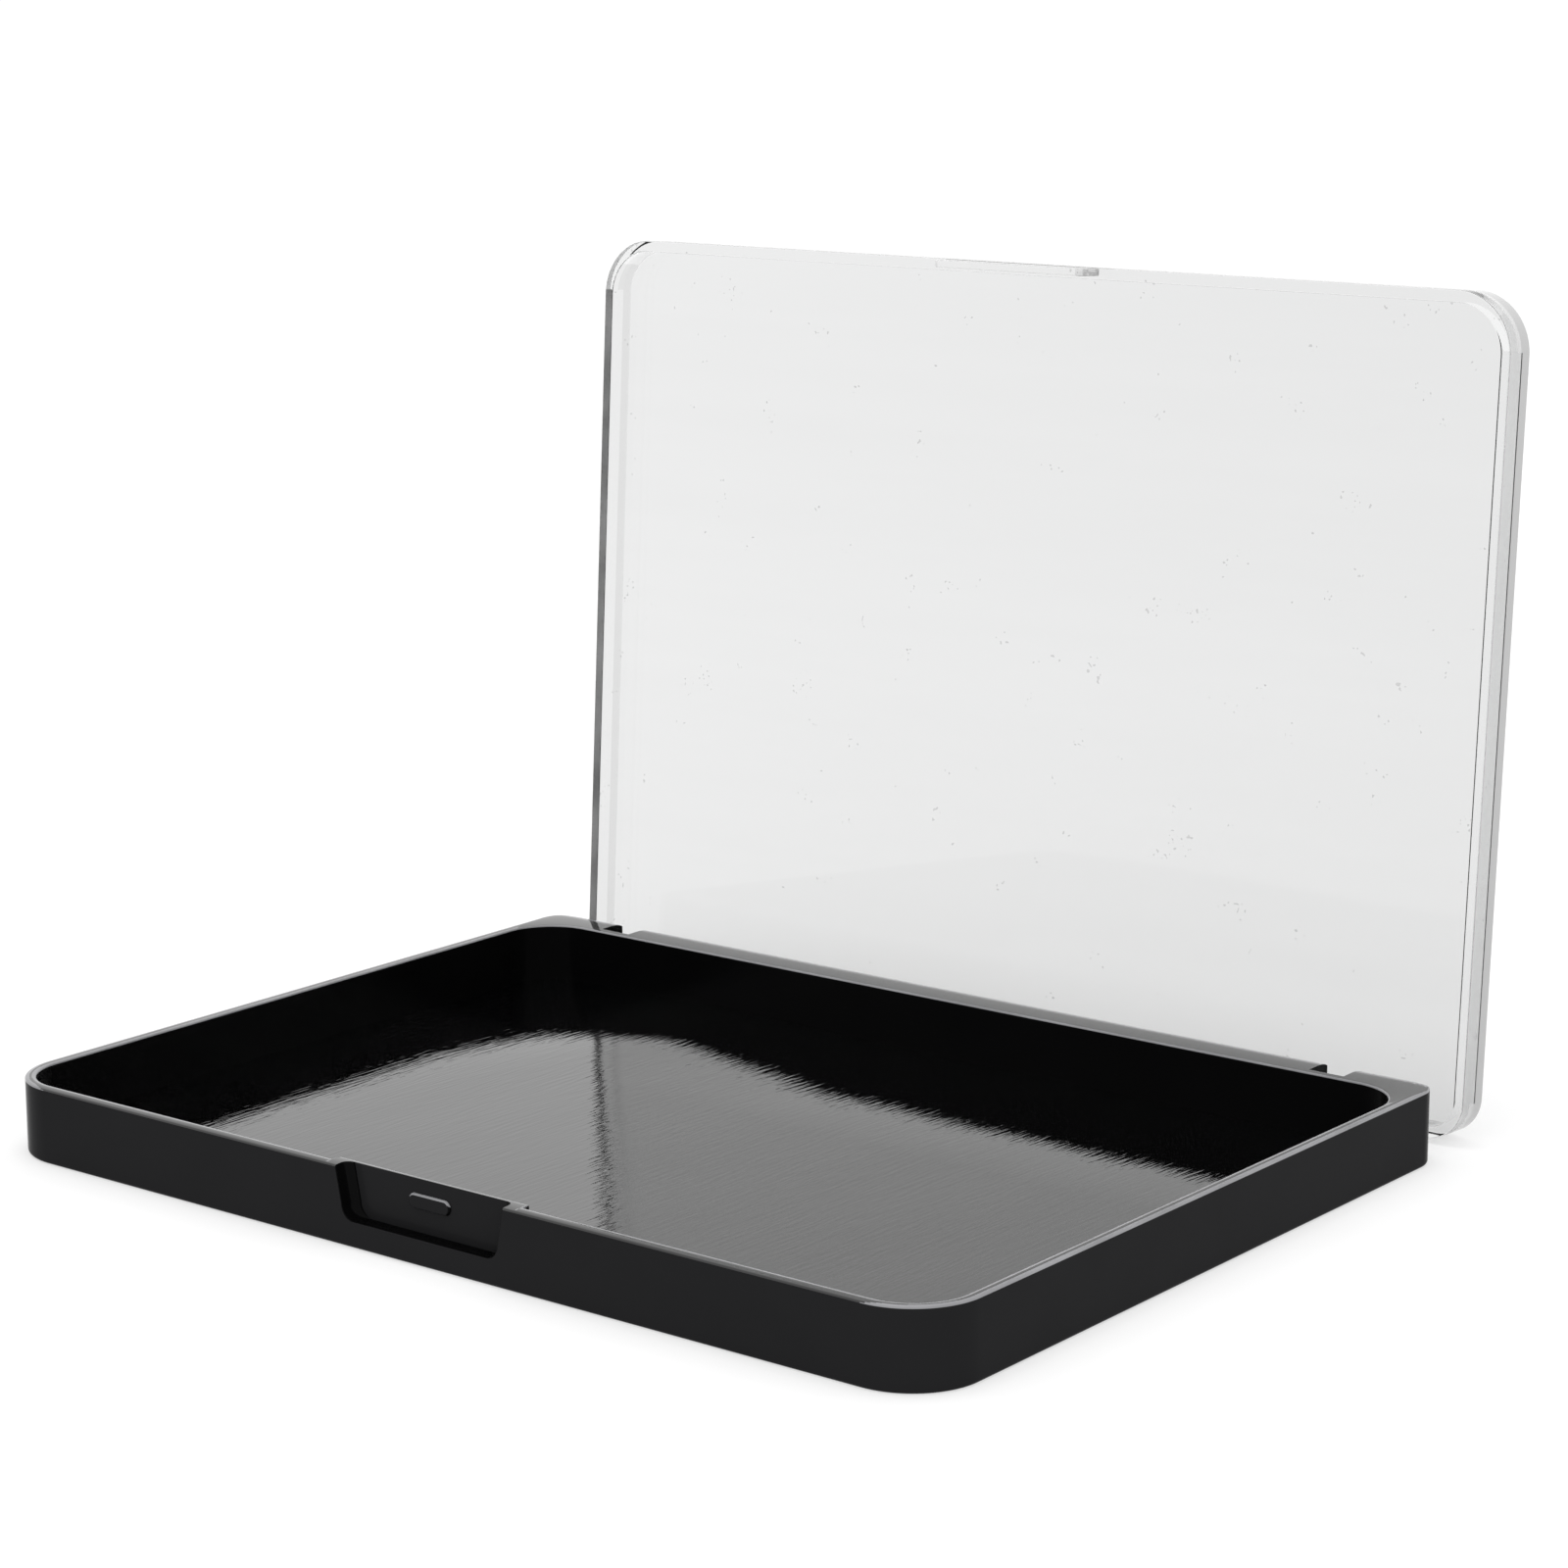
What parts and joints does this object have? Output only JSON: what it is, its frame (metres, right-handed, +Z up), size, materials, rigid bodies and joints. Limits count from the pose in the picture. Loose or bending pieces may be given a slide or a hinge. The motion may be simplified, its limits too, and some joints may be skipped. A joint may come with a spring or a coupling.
{
  "type": "wet palette",
  "caption": "Shallow rectangular black tray for keeping paint moist, with a hinged clear lid that stands open and a thumb recess in the front wall.",
  "frame": {"origin": "centre of the tray's flat underside, on the surface that it stands on", "axes": "+X along the hinge to the right, +Y from the thumb recess at the front back to the hinge, +Z up"},
  "size_m": [0.2, 0.1711, 0.1472],
  "materials": {
    "black_plastic": "gloss black moulded polystyrene with a mirror-like floor",
    "clear_plastic": "clear gloss moulded polystyrene",
    "pin_steel": "drawn steel wire"
  },
  "bodies": {
    "tray": {"base_tray": "black_plastic", "hinge_pin_left": "pin_steel", "hinge_pin_right": "pin_steel"},
    "lid": {"clear_lid": "clear_plastic"}
  },
  "joints": [
    {"name": "lid_hinge", "type": "hinge", "parent": "tray", "child": "lid", "pos_m": [0, 0.071, 0.0034], "axis": [1, 0, 0], "range_deg": [0, 93.4]}
  ]
}
